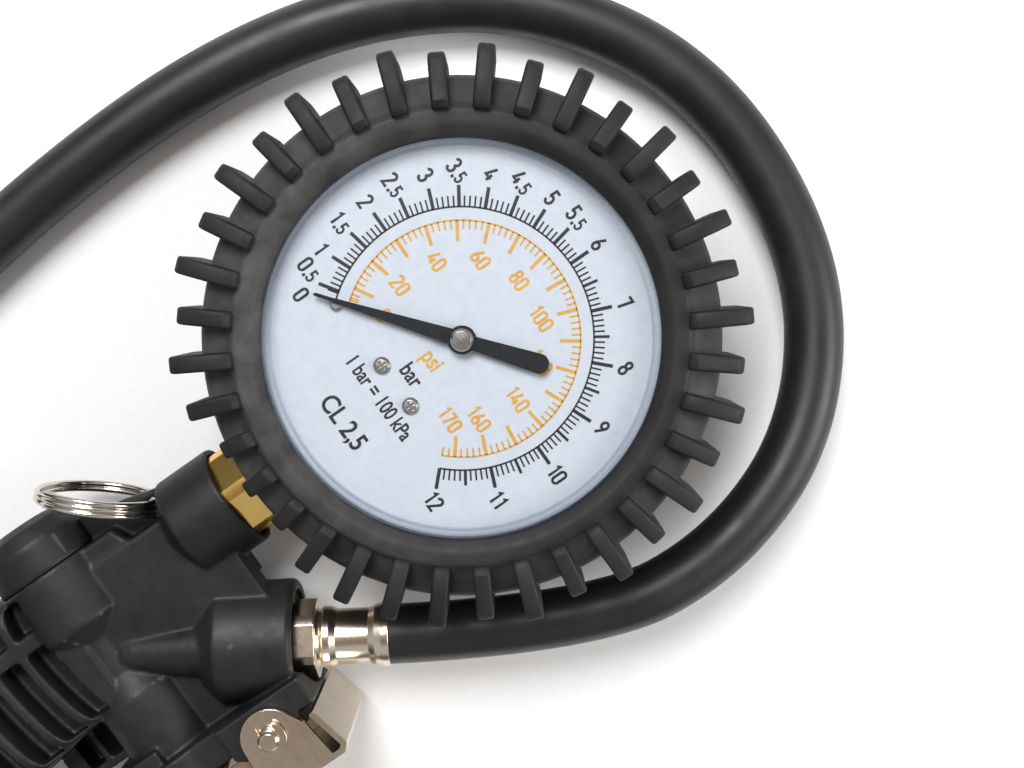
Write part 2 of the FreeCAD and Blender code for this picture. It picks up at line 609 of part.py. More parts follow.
def trigger_clip():
    px, py = PIVOT
    clip = cyl(3.3, (px, py, 31.3), (px, py, 32.0)).cut(cyl(1.5, (px, py, 31), (px, py, 33)))
    mouth = plate([(-1.3, 0), (1.3, 0), (1.6, 4), (-1.6, 4)], 31, 33)
    mouth.rotate(V(), Z, 75)
    mouth.translate(V(px, py, 0))
    return clip.cut(mouth)


def key_ring():
    """Split ring: two coils side by side, each a closed turn, joined where they overlap."""
    x, y = polar(RING_R, RING_DEG, RING_HOLE)
    axis = polar(1, RING_DEG + 90)
    coils = []
    for offset in (-0.6, 0.6):
        base = (x + offset * axis[0], y + offset * axis[1], AXIS_Z)
        coils.append(ring(RING_R, RING_WIRE, base, (axis[0], axis[1], 0)))
    return fused(*coils)


# ---------------------------------------------------------------- fittings, hose and chuck

def gauge_seal():
    return turned([(6.5, 0), (9.0, 0), (9.0, 0.5), (6.5, 0.5)], (0, GAUGE_BOSS_TOP - 1.5, AXIS_Z), (0, 1, 0))


def inlet_bush():
    seat = INLET_LENGTH + 1.4
    profile = [(INLET_R, 0), (7.6, 0), (9.8, 0.8), (9.8, 3.0), (8.0, 3.0), (8.0, 16.3), (2.6, 16.3),
               (2.6, seat), (5.0, seat), (5.0, INLET_LENGTH), (INLET_R, INLET_LENGTH)]
    return turned(profile, (INLET_X, -220.0, AXIS_Z), (0, 1, 0))


def inlet_filter():
    return turned([(0, 0), (5.0, 0), (5.0, 0.9), (0, 0.9)], (INLET_X, -207.6, AXIS_Z), (0, 1, 0))


def along_port(profile, s):
    return turned(profile, port(s), port_axis())


def hose_fitting():
    nut = hexagon(14.0, port(PORT_RIM - 0.4), port(PORT_RIM + 3.6), 17)
    thread = cyl(PORT_THREAD_R, port(PORT_RIM - 0.4), port(PORT_RIM - 9.5))
    collar = along_port([(0, 0), (5.9, 0), (5.4, 0.8), (0, 0.8)], PORT_RIM + 3.6)
    barb = cyl(3.0, port(FERRULE_START - 0.5), port(FERRULE_START + FERRULE_LENGTH - 0.6))
    return fused(nut, thread, collar, barb).cut(cyl(2.0, port(PORT_RIM - 12), port(PORT_RIM + 25)))


def fitting_seal():
    return along_port([(4.95, 0), (6.8, 0), (6.8, 0.9), (4.95, 0.9)], PORT_RIM - 1.45)


def hose_ferrule():
    return along_port([(3.0, 0), (5.6, 0), (6.1, 0.6), (6.0, 1.8), (5.4, 3.0), (5.35, 9.2), (5.9, 10.4),
                       (6.15, 11.7), (6.15, FERRULE_LENGTH), (3.0, FERRULE_LENGTH)], FERRULE_START)


def hose_route():
    """Hose centreline points: out of the port, down to the surface, round the gauge to the chuck."""
    start = port(FERRULE_START + FERRULE_LENGTH)
    return [
        start,
        port(FERRULE_START + FERRULE_LENGTH + 37.0),
        (63.2, 22.8, 14.2),
        (49.2, 51.6, 10.4),
        (21.3, 67.2, 7.4),
        (-13.6, 66.6, 5.85),
        (-44.6, 48.8, 5.8),
        (-63.1, 20.5, 5.8),
        (-71.0, -13.1, 5.8),
        (-70.4, -56.0, 5.8),
        (-63.6, -100.0, 5.8),
        (-61.9, -140.5, 5.8)]


def hose():
    points = [V(*p) for p in hose_route()]
    bends = []
    for before, at, after in zip(points, points[1:], points[2:]):
        into, out = (at - before), (after - at)
        trim = 0.45 * min(into.Length, out.Length)
        turn = into.getAngle(out)
        radius = trim / math.tan(turn / 2)
        start, end = at - into.normalize() * trim, at + out.normalize() * trim
        inward = ((start + end) * 0.5 - at).normalize()
        middle = at + inward * (radius / math.cos(turn / 2) - radius)
        bends.append((start, middle, end, radius))
    edges, here = [], points[0]
    for start, middle, end, radius in bends:
        edges += [Part.LineSegment(here, start).toShape(), Part.Arc(start, middle, end).toShape()]
        here = end
    edges.append(Part.LineSegment(here, points[-1]).toShape())
    path = Part.Wire(edges)
    section = Part.Wire(Part.makeCircle(HOSE_R, points[0], points[1] - points[0]))
    tube = path.makePipeShell([section], True, False)
    print("hose length %.1f, radii %s" % (path.Length, " ".join("%.0f" % bend[3] for bend in bends)))
    print("hose volume %.0f, section times length %.0f" % (tube.Volume, math.pi * HOSE_R ** 2 * path.Length))
    return tube


def chuck_point(s, side=0.0, height=0.0):
    """A point on the chuck, s from the hose end along it, moved sideways and up."""
    end, before = V(*hose_route()[-1]), V(*hose_route()[-2])
    along = (end - before).normalize()
    across = V(along.y, -along.x, 0)
    point = end + along * s + across * side + Z * height
    return (point.x, point.y, point.z)


def chuck_axis():
    return V(*chuck_point(1)) - V(*chuck_point(0))


def along_chuck(profile, s):
    return turned(profile, chuck_point(s), chuck_axis())


def chuck_ferrule():
    return along_chuck([(3.0, 0), (5.75, 0), (5.75, 1.6), (5.4, 2.8), (5.35, 9.6), (5.75, 10.8), (5.6, 12.4),
                        (3.0, 12.4)], 0)


def clip_box(s_low, s_high, side_low, side_high, z_low, z_high):
    """Box in the chuck's own directions: along it, sideways and up."""
    corners = [chuck_point(s_low, side_low), chuck_point(s_high, side_low), chuck_point(s_high, side_high),
               chuck_point(s_low, side_high)]
    return plate([(x, y) for x, y, _ in corners], z_low, z_high)


def chuck_body():
    shape = along_chuck([(0, CHUCK_START), (5.3, CHUCK_START), (CHUCK_R, 13.2), (CHUCK_R, 17), (4.8, 18.5),
                         (4.8, 22), (CHUCK_R, 23.5), (CHUCK_R, CHUCK_END - 0.8), (5.2, CHUCK_END),
                         (0, CHUCK_END)], 0)
    ear_z = HOSE_R + 0.05
    ears = clip_box(CLIP_PIVOT_S - 2.6, CLIP_PIVOT_S + 2.6, 3.0, CLIP_SIDE + 2.2, ear_z - 2.0, ear_z + 2.0)
    shape = fused(shape, ears, cyl(3.0, chuck_point(CHUCK_START), chuck_point(1)))
    cuts = [cyl(2.0, chuck_point(0), chuck_point(CHUCK_START + 25)),
            cyl(CHUCK_BORE_R, chuck_point(CHUCK_END + 1), chuck_point(CHUCK_END - CHUCK_BORE)),
            cyl(SEAL_R, chuck_point(CHUCK_END - CHUCK_BORE), chuck_point(CHUCK_END - CHUCK_BORE - 2.2)),
            clip_box(CHUCK_END - 6.4, CHUCK_END - 3.6, 2.6, 7, ear_z - 3.2, ear_z + 3.2),
            cyl(1.0, chuck_point(CLIP_PIVOT_S, CLIP_SIDE, -6), chuck_point(CLIP_PIVOT_S, CLIP_SIDE, 6))]
    return shape.cut(cuts)


def chuck_seal():
    return along_chuck([(2.2, 0), (SEAL_R, 0), (SEAL_R, 2.1), (2.6, 2.1)], CHUCK_END - CHUCK_BORE - 2.2)


def chuck_depressor():
    profile = [(0, 0), (1.95, 0), (1.95, 1.0), (0.8, 1.0), (0.8, 3.6), (0.5, 4.0), (0, 4.0)]
    spider = along_chuck(profile, 34.9)
    holes = [cyl(0.5, chuck_point(34, 1.3 * side), chuck_point(37, 1.3 * side)) for side in (-1, 1)]
    return spider.cut(holes)


def chuck_clip():
    """Thumb lever with two side plates on the pin and a claw that reaches into the bore."""
    base = HOSE_R + 0.05
    top = clip_box(9.0, CHUCK_END - 3.0, 11.0, 12.2, base - 3.6, base + 3.6)
    sides = []
    for low in (base - 3.6, base + 2.4):
        sides.append(clip_box(CLIP_PIVOT_S - 4, CLIP_PIVOT_S + 6, 6.6, 11.2, low, low + 1.2))
    claw = clip_box(CHUCK_END - 5.6, CHUCK_END - 4.4, 4.6, 11.2, base - 2.6, base + 2.6)
    shape = fused(top, claw, *sides)
    pivot = chuck_point(CLIP_PIVOT_S, CLIP_SIDE)
    holes = [cyl(1.0 + RUNNING, (pivot[0], pivot[1], -2), (pivot[0], pivot[1], 14))]
    return shape.cut(holes)


def chuck_clip_pin():
    x, y, z = chuck_point(CLIP_PIVOT_S, CLIP_SIDE)
    return cyl(1.0, (x, y, z - 3.9), (x, y, z + 3.9))


def chuck_clip_spring():
    """Bent leaf on the chuck's side, at the height that the pressed thumb lever leaves it."""
    line = [(26.9, 5.85), (18.5, 6.1), (12.4, 7.0), (12.4, 7.4), (18.4, 6.5), (26.9, 6.25)]
    middle = HOSE_R + 0.05
    return plate([chuck_point(s, side)[:2] for s, side in line], middle - 1.8, middle + 1.8)


def main():
    os.makedirs("parts", exist_ok=True)
    save("gauge_boot", gauge_boot())
    save("gauge_case", gauge_case())
    save("gauge_lens", gauge_lens())
    save("lens_gasket", lens_gasket())
    save("dial_plate", dial_plate())
    save("dial_screws", *dial_screws())
    save("dial_posts", *dial_posts())
    save("pointer_stop_pin", pointer_stop_pin())
    save("pointer", pointer())
    save("pointer_cap", pointer_cap())
    save("pinion_shaft", pinion_shaft())
    save("sector_gear", sector_gear())
    save("movement_back_plate", movement_back_plate())
    save("movement_front_plate", movement_plate(PLATE_FRONT_Z, -22.0))
    save("movement_pillars", *movement_pillars())
    save("movement_screws", *movement_screws())
    save("bourdon_tube", bourdon_tube())
    save("bourdon_tip", bourdon_tip())
    save("link", link())
    save("hairspring", hairspring())
    save("gauge_stem", gauge_stem())
    save("gauge_seal", gauge_seal())
    save("valve_body", valve_body())
    save("barrel_cap", barrel_cap())
    save("valve_seat", valve_seat())
    save("valve_poppet", valve_poppet())
    save("poppet_seal", poppet_seal())
    save("valve_spring", valve_spring())
    save("valve_stem", valve_stem())
    save("stem_o_ring", stem_o_ring())
    save("stem_guide", stem_guide())
    save("trigger_lever", trigger_lever())
    save("trigger_pin", trigger_pin())
    save("trigger_clip", trigger_clip())
    save("key_ring", key_ring())
    save("inlet_bush", inlet_bush())
    save("inlet_filter", inlet_filter())
    save("hose_fitting", hose_fitting())
    save("fitting_seal", fitting_seal())
    save("hose_ferrule", hose_ferrule())
    save("hose", hose())
    save("chuck_ferrule", chuck_ferrule())
    save("chuck_body", chuck_body())
    save("chuck_seal", chuck_seal())
    save("chuck_depressor", chuck_depressor())
    save("chuck_clip", chuck_clip())
    save("chuck_clip_pin", chuck_clip_pin())
    save("chuck_clip_spring", chuck_clip_spring())


main()
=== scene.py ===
"""Looks of the tyre inflator: camera, hose, boot, body, dial printing, lens, key ring, light."""
import json
import math

import bmesh
import bpy
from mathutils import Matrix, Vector

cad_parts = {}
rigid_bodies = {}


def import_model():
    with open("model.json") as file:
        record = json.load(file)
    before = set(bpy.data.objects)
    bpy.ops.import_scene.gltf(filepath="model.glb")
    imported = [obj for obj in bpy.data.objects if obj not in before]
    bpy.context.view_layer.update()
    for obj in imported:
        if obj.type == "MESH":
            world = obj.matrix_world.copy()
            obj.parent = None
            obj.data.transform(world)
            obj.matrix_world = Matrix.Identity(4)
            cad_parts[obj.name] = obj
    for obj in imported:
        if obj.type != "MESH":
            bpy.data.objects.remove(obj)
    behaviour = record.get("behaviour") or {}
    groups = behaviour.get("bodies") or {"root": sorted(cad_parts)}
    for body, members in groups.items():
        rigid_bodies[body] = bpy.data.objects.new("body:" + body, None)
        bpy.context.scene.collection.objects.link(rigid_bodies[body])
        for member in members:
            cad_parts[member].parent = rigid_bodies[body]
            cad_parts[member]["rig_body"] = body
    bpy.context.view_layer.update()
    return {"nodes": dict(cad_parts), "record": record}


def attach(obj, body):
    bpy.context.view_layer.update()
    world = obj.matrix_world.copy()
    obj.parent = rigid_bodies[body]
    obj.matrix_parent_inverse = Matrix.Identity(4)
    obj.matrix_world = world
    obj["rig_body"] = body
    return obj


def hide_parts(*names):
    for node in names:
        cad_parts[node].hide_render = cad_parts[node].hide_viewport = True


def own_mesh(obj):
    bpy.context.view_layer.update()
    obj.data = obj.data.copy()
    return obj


MM = 0.001
AXIS_Z = 17 * MM                 # height of the stem, barrel and port axes

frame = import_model()
nodes = frame["nodes"]


# ------------------------------------------------------------------ camera

CAMERA_LENS_MM = 44.9
CAMERA_PLACE = (-4.2 * MM, 12.0 * MM, 260 * MM)
CAMERA_TURN_DEG = (-4.66, -0.31, 55.1)


def add_camera():
    """Nearly straight above the dial, turned so that 12 o'clock points right and up."""
    data = bpy.data.cameras.new("camera")
    data.sensor_width = 36.0
    data.lens = CAMERA_LENS_MM
    data.clip_start = 0.01
    camera = bpy.data.objects.new("camera", data)
    bpy.context.scene.collection.objects.link(camera)
    camera.location = CAMERA_PLACE
    camera.rotation_euler = tuple(math.radians(turn) for turn in CAMERA_TURN_DEG)
    bpy.context.scene.camera = camera


# ------------------------------------------------------------------ mesh helpers

def mesh_object(name, mesh):
    piece = bpy.data.objects.new(name, mesh)
    bpy.context.scene.collection.objects.link(piece)
    return piece


def from_bmesh(name, bm, smooth_deg=35):
    bmesh.ops.recalc_face_normals(bm, faces=bm.faces)
    mesh = bpy.data.meshes.new(name)
    bm.to_mesh(mesh)
    bm.free()
    mesh.shade_smooth()
    mesh.set_sharp_from_angle(angle=math.radians(smooth_deg))
    return mesh_object(name, mesh)


def baked(piece):
    """Replaces the piece's modifiers by their result."""
    graph = bpy.context.evaluated_depsgraph_get()
    mesh = bpy.data.meshes.new_from_object(piece.evaluated_get(graph))
    piece.modifiers.clear()
    piece.data = mesh
    return piece


def revolve(bm, profile, steps, closed=True):
    """Revolves (r, z) points about Z; a point at r = 0 becomes one shared vertex."""
    rings = []
    for r, z in profile:
        if r < 1e-9:
            rings.append([bm.verts.new((0, 0, z))] * steps)
        else:
            rings.append([bm.verts.new((r * math.cos(a), r * math.sin(a), z))
                          for a in (2 * math.pi * i / steps for i in range(steps))])
    pairs = list(zip(rings, rings[1:]))
    if closed:
        pairs.append((rings[-1], rings[0]))
    for low, high in pairs:
        for i in range(steps):
            j = (i + 1) % steps
            corners = []
            for corner in (low[i], low[j], high[j], high[i]):
                if corner not in corners:
                    corners.append(corner)
            if len(corners) > 2:
                bm.faces.new(corners)


def rounded(profile, radius, steps=4):
    """The (r, z) outline with every corner replaced by a short curve."""
    result = []
    count = len(profile)
    for i, point in enumerate(profile):
        here = Vector(point)
        before, after = Vector(profile[i - 1]), Vector(profile[(i + 1) % count])
        if here.x < 1e-9:
            result.append(point)
            continue
        cut = min(radius, 0.45 * (before - here).length, 0.45 * (after - here).length)
        start = here + (before - here).normalized() * cut
        end = here + (after - here).normalized() * cut
        for k in range(steps + 1):
            t = k / steps
            spot = start * (1 - t) ** 2 + here * 2 * t * (1 - t) + end * t ** 2
            result.append((spot.x, spot.y))
    return result


# ------------------------------------------------------------------ hose

HOSE_R = 5.75 * MM
HOSE_START = (39.17 * MM, -45.32 * MM, AXIS_Z)


def hose_route():
    """Control points: out of the port, down to the surface, round the gauge to the chuck."""
    rest = [
        (60.37, -11.40, 17.0), (63.8, 18.0, 14.6), (53.4, 45.4, 11.0), (27.0, 64.6, 7.8),
        (-12.6, 67.2, 5.85), (-44.4, 49.6, 5.8), (-63.0, 21.0, 5.8), (-71.0, -13.1, 5.8),
        (-70.4, -56.0, 5.8), (-63.6, -100.0, 5.8), (-61.9, -140.5, 5.8)]
    return [HOSE_START] + [(x * MM, y * MM, z * MM) for x, y, z in rest]


def add_hose(material):
    curve = bpy.data.curves.new("hose_rubber", "CURVE")
    curve.dimensions = "3D"
    spline = curve.splines.new("NURBS")
    route = hose_route()
    spline.points.add(len(route) - 1)
    for point, place in zip(spline.points, route):
        point.co = (*place, 1)
    spline.order_u = 3
    spline.use_endpoint_u = True
    spline.resolution_u = 16
    curve.bevel_depth = HOSE_R
    curve.bevel_resolution = 8
    curve.use_fill_caps = True
    curve.materials.append(material)
    hose = bpy.data.objects.new("hose_rubber", curve)
    bpy.context.scene.collection.objects.link(hose)
    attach(hose, "body")
    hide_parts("hose")


# ------------------------------------------------------------------ materials

class Finish:
    """A small builder for procedural Principled materials."""

    def __init__(self, name):
        self.material = bpy.data.materials.new(name)
        self.material.use_nodes = True
        self.tree = self.material.node_tree
        self.shader = self.tree.nodes["Principled BSDF"]
        self.place = self.add("ShaderNodeTexCoord").outputs["Object"]

    def add(self, kind, **settings):
        node = self.tree.nodes.new(kind)
        for key, value in settings.items():
            setattr(node, key, value)
        return node

    def link(self, output, target):
        self.tree.links.new(output, target)

    def stretched(self, scale):
        mapping = self.add("ShaderNodeMapping")
        self.link(self.place, mapping.inputs["Vector"])
        mapping.inputs["Scale"].default_value = scale
        return mapping.outputs["Vector"]

    def noise(self, size, detail=4, roughness=0.55, stretch=None):
        """Noise whose features are about size metres across."""
        node = self.add("ShaderNodeTexNoise")
        node.inputs["Scale"].default_value = 1.0 / size
        node.inputs["Detail"].default_value = detail
        node.inputs["Roughness"].default_value = roughness
        self.link(self.stretched(stretch) if stretch else self.place, node.inputs["Vector"])
        return node.outputs["Fac"]

    def ramp(self, value, stops):
        node = self.add("ShaderNodeValToRGB")
        self.link(value, node.inputs["Fac"])
        elements = node.color_ramp.elements
        while len(elements) < len(stops):
            elements.new(0.5)
        for element, (position, colour) in zip(elements, stops):
            element.position = position
            element.color = (*colour, 1)
        return node.outputs["Color"]

    def span(self, value, low, high, from_low=0.3, from_high=0.7):
        node = self.add("ShaderNodeMapRange")
        self.link(value, node.inputs["Value"])
        ends = {"From Min": from_low, "From Max": from_high, "To Min": low, "To Max": high}
        for key, number in ends.items():
            node.inputs[key].default_value = number
        return node.outputs["Result"]

    def maths(self, operation, *values):
        node = self.add("ShaderNodeMath", operation=operation)
        for target, value in zip(node.inputs, values):
            if isinstance(value, float):
                target.default_value = value
            else:
                self.link(value, target)
        return node.outputs["Value"]

    def mixed(self, factor, first, second):
        node = self.add("ShaderNodeMix", data_type="RGBA")
        self.link(factor, node.inputs["Factor"])
        for socket, colour in (("A", first), ("B", second)):
            target = [s for s in node.inputs if s.name == socket and s.type == "RGBA"][0]
            if isinstance(colour, tuple):
                target.default_value = (*colour, 1)
            else:
                self.link(colour, target)
        return [s for s in node.outputs if s.type == "RGBA"][0]

    def colour(self, output):
        self.link(output, self.shader.inputs["Base Color"])

    def rough(self, output):
        self.link(output, self.shader.inputs["Roughness"])

    def relief(self, heights, edge):
        """Bump layers (value, depth in metres) over softened edges of the given radius."""
        normal = None
        if edge:
            bevel = self.add("ShaderNodeBevel", samples=6)
            bevel.inputs["Radius"].default_value = edge
            normal = bevel.outputs["Normal"]
        for value, depth in heights:
            bump = self.add("ShaderNodeBump")
            bump.inputs["Distance"].default_value = depth
            self.link(value, bump.inputs["Height"])
            if normal is not None:
                self.link(normal, bump.inputs["Normal"])
            normal = bump.outputs["Normal"]
        if normal is not None:
            self.link(normal, self.shader.inputs["Normal"])

    def set(self, **values):
        for key, value in values.items():
            self.shader.inputs[key.replace("_", " ")].default_value = value


def moulded(name, dark, light, rough_low, rough_high, grain, grain_depth, edge, specular=0.35,
            blotch=12 * MM):
    """Moulded plastic or rubber: soft blotches of tone, a fine grain and softened edges."""
    finish = Finish(name)
    finish.colour(finish.ramp(finish.noise(blotch, 6), [(0.35, dark), (0.65, light)]))
    finish.rough(finish.span(finish.noise(blotch / 4, 5), rough_low, rough_high))
    waves = finish.noise(blotch / 3, 2)
    finish.relief([(finish.noise(grain, 3), grain_depth), (waves, grain_depth * 3)], edge)
    finish.set(Specular_IOR_Level=specular)
    return finish


def nylon():
    """Glass-filled nylon: fine spark-eroded grain, paler on handled edges, and painted shade that darkens
    the hollows.
    """
    finish = moulded("nylon_body", (0.010, 0.010, 0.011), (0.018, 0.018, 0.018), 0.42, 0.54, 0.35 * MM,
                     0.018 * MM, 0.35 * MM)
    pointed = finish.add("ShaderNodeNewGeometry").outputs["Pointiness"]
    worn = finish.span(pointed, 0.0, 0.55, 0.53, 0.62)
    base = finish.shader.inputs["Base Color"].links[0].from_socket
    # Painted shade: ambient occlusion takes the base colour towards near black in pockets and hollows.
    hollow = finish.add("ShaderNodeAmbientOcclusion", samples=8)
    hollow.inputs["Distance"].default_value = 6 * MM
    depth = hollow.outputs["AO"]
    painted_hollow_shade = finish.mixed(finish.span(depth, 0.0, 1.0, 0.25, 0.75), (0.004, 0.004, 0.004), base)
    finish.colour(finish.mixed(worn, painted_hollow_shade, (0.085, 0.083, 0.078)))
    return finish.material


def boot_rubber():
    """Boot rubber: matte, pale with mould powder on the shoulder and in the corners, and a painted sheen
    that makes one side of the lip paler, as the key light's reflection would.
    """
    finish = moulded("rubber_boot", (0.010, 0.010, 0.011), (0.019, 0.019, 0.020), 0.50, 0.66, 0.25 * MM,
                     0.014 * MM, 0.35 * MM, specular=0.3)
    flat = finish.stretched((1.0, 1.0, 0.0))
    radius = finish.add("ShaderNodeVectorMath", operation="LENGTH")
    finish.link(flat, radius.inputs[0])
    reach = radius.outputs["Value"]
    side = finish.add("ShaderNodeVectorMath", operation="DOT_PRODUCT")
    finish.link(flat, side.inputs[0])
    side.inputs[1].default_value = (-0.62, -0.78, 0.0)
    height = finish.add("ShaderNodeSeparateXYZ")
    finish.link(finish.place, height.inputs["Vector"])
    slope = finish.maths("MULTIPLY_ADD", reach, 0.55, height.outputs["Z"])
    below_fins = finish.span(slope, 1.0, 0.0, 64.9 * MM, 65.3 * MM)
    inside_wall = finish.span(reach, 1.0, 0.0, 45.4 * MM, 45.9 * MM)
    shoulder = finish.span(reach, 0.0, 0.4, 38.9 * MM, 39.6 * MM)
    # Painted sheen: the lip is made paler towards one side, standing in for the key light's reflection.
    painted_sheen_side = finish.span(side.outputs["Value"], 0.0, 0.9, -14 * MM, 42 * MM)
    dust_and_sheen = finish.span(finish.noise(7 * MM, 7, 0.62), 0.10, 0.75, 0.35, 0.72)
    for factor in (finish.maths("MAXIMUM", shoulder, painted_sheen_side), below_fins, inside_wall):
        dust_and_sheen = finish.maths("MULTIPLY", dust_and_sheen, factor)
    base = finish.shader.inputs["Base Color"].links[0].from_socket
    # Mould powder on the shoulder and the painted sheen on one side both mix the colour towards pale grey.
    finish.colour(finish.mixed(dust_and_sheen, base, (0.125, 0.120, 0.112)))
    return finish.material


def hose_rubber():
    finish = moulded("hose_rubber", (0.011, 0.011, 0.012), (0.018, 0.018, 0.019), 0.38, 0.50, 0.5 * MM,
                     0.006 * MM, 0, specular=0.45, blotch=25 * MM)
    return finish.material


def seal_rubber():
    return moulded("rubber_seal", (0.010, 0.010, 0.010), (0.022, 0.022, 0.022), 0.4, 0.55, 0.3 * MM,
                   0.008 * MM, 0.1 * MM).material


def plated(name, tint, shade, rough_low, rough_high, edge=0.25 * MM, scratch=(1.0, 14.0, 14.0)):
    """Plated or bare metal: uneven tone, fine scratches and soft waves in the sheet."""
    finish = Finish(name)
    finish.set(Metallic=1.0)
    finish.colour(finish.ramp(finish.noise(9 * MM, 5), [(0.3, shade), (0.7, tint)]))
    scratches = finish.noise(3 * MM, 6, 0.7, stretch=scratch)
    finish.rough(finish.span(scratches, rough_low, rough_high))
    finish.relief([(scratches, 0.004 * MM), (finish.noise(6 * MM, 2), 0.05 * MM)], edge)
    return finish.material


def clear_lens():
    """Clear moulding: see-through face on, bluish and glossy where seen edge on."""
    finish = Finish("clear_lens")
    finish.set(Roughness=0.04, Specular_IOR_Level=0.8)
    weight = finish.add("ShaderNodeLayerWeight")
    weight.inputs["Blend"].default_value = 0.35
    tints = [(0.2, (0.42, 0.48, 0.60)), (0.8, (0.16, 0.20, 0.30))]
    finish.colour(finish.ramp(weight.outputs["Facing"], tints))
    mix = finish.add("ShaderNodeMixShader")
    see_through = finish.add("ShaderNodeBsdfTransparent")
    see_through.inputs["Color"].default_value = (0.975, 0.985, 1.0, 1)
    finish.link(finish.span(weight.outputs["Facing"], 0.008, 0.42, 0.1, 0.95), mix.inputs["Fac"])
    finish.link(see_through.outputs["BSDF"], mix.inputs[1])
    finish.link(finish.shader.outputs["BSDF"], mix.inputs[2])
    output = [n for n in finish.tree.nodes if n.type == "OUTPUT_MATERIAL"][0]
    finish.link(mix.outputs["Shader"], output.inputs["Surface"])
    return finish.material


def printed(name, dark, light, roughness=0.45, specular=0.5):
    """Ink or paint with a little unevenness."""
    finish = Finish(name)
    finish.colour(finish.ramp(finish.noise(1.5 * MM, 4), [(0.3, dark), (0.7, light)]))
    finish.rough(finish.span(finish.noise(4 * MM), roughness - 0.06, roughness + 0.06))
    finish.relief([(finish.noise(0.4 * MM), 0.003 * MM)], 0)
    finish.set(Specular_IOR_Level=specular)
    return finish.material


def make_materials():
    return {
        "rubber_boot": boot_rubber(),
        "steel_case": printed("steel_case", (0.015, 0.015, 0.015), (0.03, 0.03, 0.03)),
        "clear_lens": clear_lens(),
        "rubber_seal": seal_rubber(),
        "dial_white": printed("dial_white", (0.545, 0.575, 0.615), (0.60, 0.63, 0.66), 0.5),
        "steel_screw": plated("steel_screw", (0.62, 0.60, 0.56), (0.42, 0.40, 0.37), 0.25, 0.45, 0.1 * MM),
        "brass_part": plated("brass_part", (0.78, 0.58, 0.26), (0.62, 0.44, 0.18), 0.25, 0.4, 0.1 * MM),
        "pointer_black": printed("pointer_black", (0.008, 0.008, 0.009), (0.015, 0.015, 0.016), 0.6, 0.2),
        "steel_bright": plated("steel_bright", (0.55, 0.52, 0.47), (0.36, 0.34, 0.31), 0.22, 0.4, 0.15 * MM),
        "bronze_tube": plated("bronze_tube", (0.60, 0.38, 0.20), (0.45, 0.27, 0.13), 0.3, 0.45, 0.1 * MM),
        "brass_hex": plated("brass_hex", (0.98, 0.68, 0.22), (0.88, 0.58, 0.17), 0.16, 0.26, 0.2 * MM),
        "nylon_body": nylon(),
        "steel_spring": plated("steel_spring", (0.5, 0.5, 0.5), (0.3, 0.3, 0.3), 0.25, 0.4, 0),
        "nickel_plate": plated("nickel_plate", (0.86, 0.78, 0.66), (0.74, 0.65, 0.54), 0.16, 0.28),
        "nickel_bright": plated("nickel_bright", (0.80, 0.76, 0.70), (0.6, 0.56, 0.5), 0.10, 0.2, 0),
        "hose_rubber": hose_rubber(),
    }


def dress_nodes(materials):
    for entry in frame["record"]["subparts"]:
        slots = nodes[entry["node"]].data.materials
        slots.clear()
        slots.append(materials[entry["material_slot"]])


# ------------------------------------------------------------------ boot

FIN_COUNT, FIN_LONG, FIN_SHORT, FIN_STUB = 36, 50.1, 48.6, 45.4
FIN_HALF, LONE_LONG_FIN = 1.5, 4     # half thickness; the even fin that is as long as the odd ones


def fin_mesh(bm, tip, degrees):
    """One fin: a 3 mm rib with a kinked top, rounded at every edge."""
    side = [(38.8, 42.2), (38.9, 44.4), (40.2, 45.2), (tip - 1.6, 43.9), (tip - 0.4, 43.2), (tip, 42.2),
            (tip, 28.5), (tip - 1.0, 26.6), (45.2, 25.6), (43.0, 26.0), (43.0, 40.0)]
    fin = bmesh.new()
    faces = []
    for y in (-FIN_HALF, FIN_HALF):
        faces.append([fin.verts.new((r * MM, y * MM, z * MM)) for r, z in side])
    fin.faces.new(faces[0])
    fin.faces.new(faces[1][::-1])
    for i in range(len(side)):
        j = (i + 1) % len(side)
        fin.faces.new((faces[0][j], faces[0][i], faces[1][i], faces[1][j]))
    bmesh.ops.recalc_face_normals(fin, faces=fin.faces)
    sharp = [e for e in fin.edges if e.calc_face_angle() > math.radians(50)]
    bmesh.ops.bevel(fin, geom=sharp, offset=0.55 * MM, segments=3, profile=0.5, affect="EDGES")
    angle = math.radians(degrees)
    for v in fin.verts:
        x, y = v.co.x, v.co.y
        v.co.x = x * math.cos(angle) - y * math.sin(angle)
        v.co.y = x * math.sin(angle) + y * math.cos(angle)
    mesh = bpy.data.meshes.new("fin")
    fin.to_mesh(mesh)
    fin.free()
    bm.from_mesh(mesh)
    bpy.data.meshes.remove(mesh)


def boot_profile():
    outline = [(45.3, 0), (45.3, 38.3), (44.5, 40.1), (39.9, 41.9), (39.1, 43.2), (36.4, 43.1), (34.4, 41.7),
               (34.3, 40.5), (40.3, 40.5), (40.3, 2.5)]
    points = rounded([(r * MM, z * MM) for r, z in outline], 0.7 * MM)
    return [(0, 0)] + points + [(0, 2.5 * MM)]


def add_boot(material):
    shell = bmesh.new()
    revolve(shell, boot_profile(), 180, closed=False)
    boot = from_bmesh("boot_rubber", shell)
    fins = bmesh.new()
    for i in range(FIN_COUNT):
        tip = FIN_LONG if i % 2 or i == LONE_LONG_FIN else FIN_SHORT
        if i in (0, 1, FIN_COUNT - 1):
            tip = FIN_STUB
        fin_mesh(fins, tip, -90 + 360 * i / FIN_COUNT)
    cutters = from_bmesh("boot_fins", fins)
    union = boot.modifiers.new("fins", "BOOLEAN")
    union.operation = "UNION"
    union.solver = "EXACT"
    union.object = cutters
    baked(boot)
    bpy.data.objects.remove(cutters)
    boot.data.shade_smooth()
    boot.data.set_sharp_from_angle(angle=math.radians(40))
    boot.data.materials.clear()
    boot.data.materials.append(material)
    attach(boot, "body")
    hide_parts("gauge_boot")


# ------------------------------------------------------------------ body moulding

